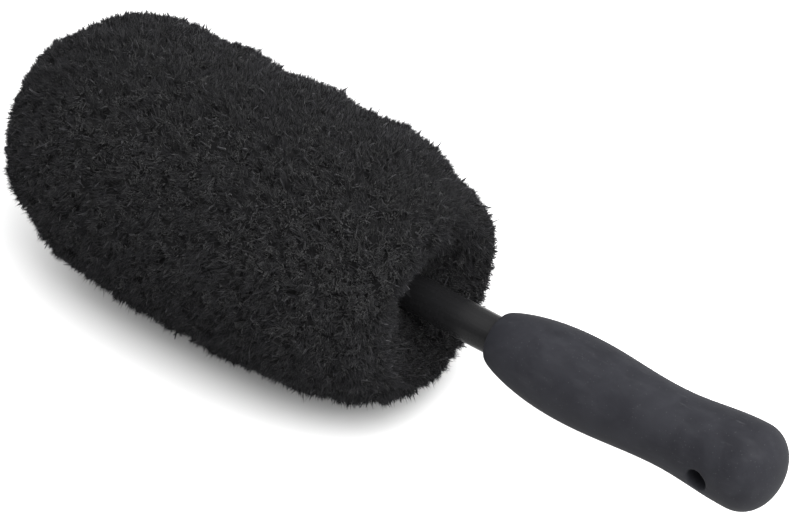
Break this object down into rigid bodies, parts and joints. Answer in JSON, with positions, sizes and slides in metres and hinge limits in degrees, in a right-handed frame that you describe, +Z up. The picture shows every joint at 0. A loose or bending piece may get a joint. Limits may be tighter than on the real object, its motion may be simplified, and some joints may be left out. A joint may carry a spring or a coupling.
{
  "type": "wheel brush",
  "caption": "Plush round microfibre wheel brush: washable pile cover over a foam core on a glossy shaft, with a soft rubber grip that has a hang hole.",
  "frame": {"origin": "middle of the brush's length, under the shaft, on the surface that the head's flat strip rests on", "axes": "+X along the brush from the tip of the head towards the pommel, +Z up as the brush lies"},
  "size_m": [0.345, 0.104, 0.1018],
  "materials": {
    "pile": "matte",
    "backing": "matte",
    "seam": "matte",
    "elastic": "matte",
    "liner": "satin",
    "foam": "matte",
    "grip_rubber": "matte",
    "shaft_plastic": "gloss",
    "moulded_plastic": "satin",
    "steel": "satin"
  },
  "bodies": {
    "handle": {"grip_sleeve": "grip_rubber", "handle_core": "moulded_plastic", "socket_pin": "steel", "shaft_tube": "shaft_plastic", "tip_plug": "moulded_plastic", "tip_screw": "steel", "tip_disc": "moulded_plastic", "tip_cushion": "foam", "foam_core": "foam", "foam_liner": "liner", "neck_collar": "moulded_plastic", "collar_pin": "steel"},
    "cover": {"tip_backing": "backing", "cover_backing": "backing", "neck_backing": "backing", "tip_seam": "seam", "side_seam": "seam", "neck_seam": "seam", "neck_hem": "seam", "neck_elastic": "elastic", "pile_tip": "pile", "pile_sleeve": "pile", "pile_neck": "pile"}
  },
  "joints": [
    {"name": "cover_slide", "type": "slide", "parent": "handle", "child": "cover", "axis": [-1, 0, 0], "range_m": [0, 0.2], "deforming": ["neck_backing", "neck_seam", "neck_hem", "neck_elastic", "pile_neck"]}
  ]
}
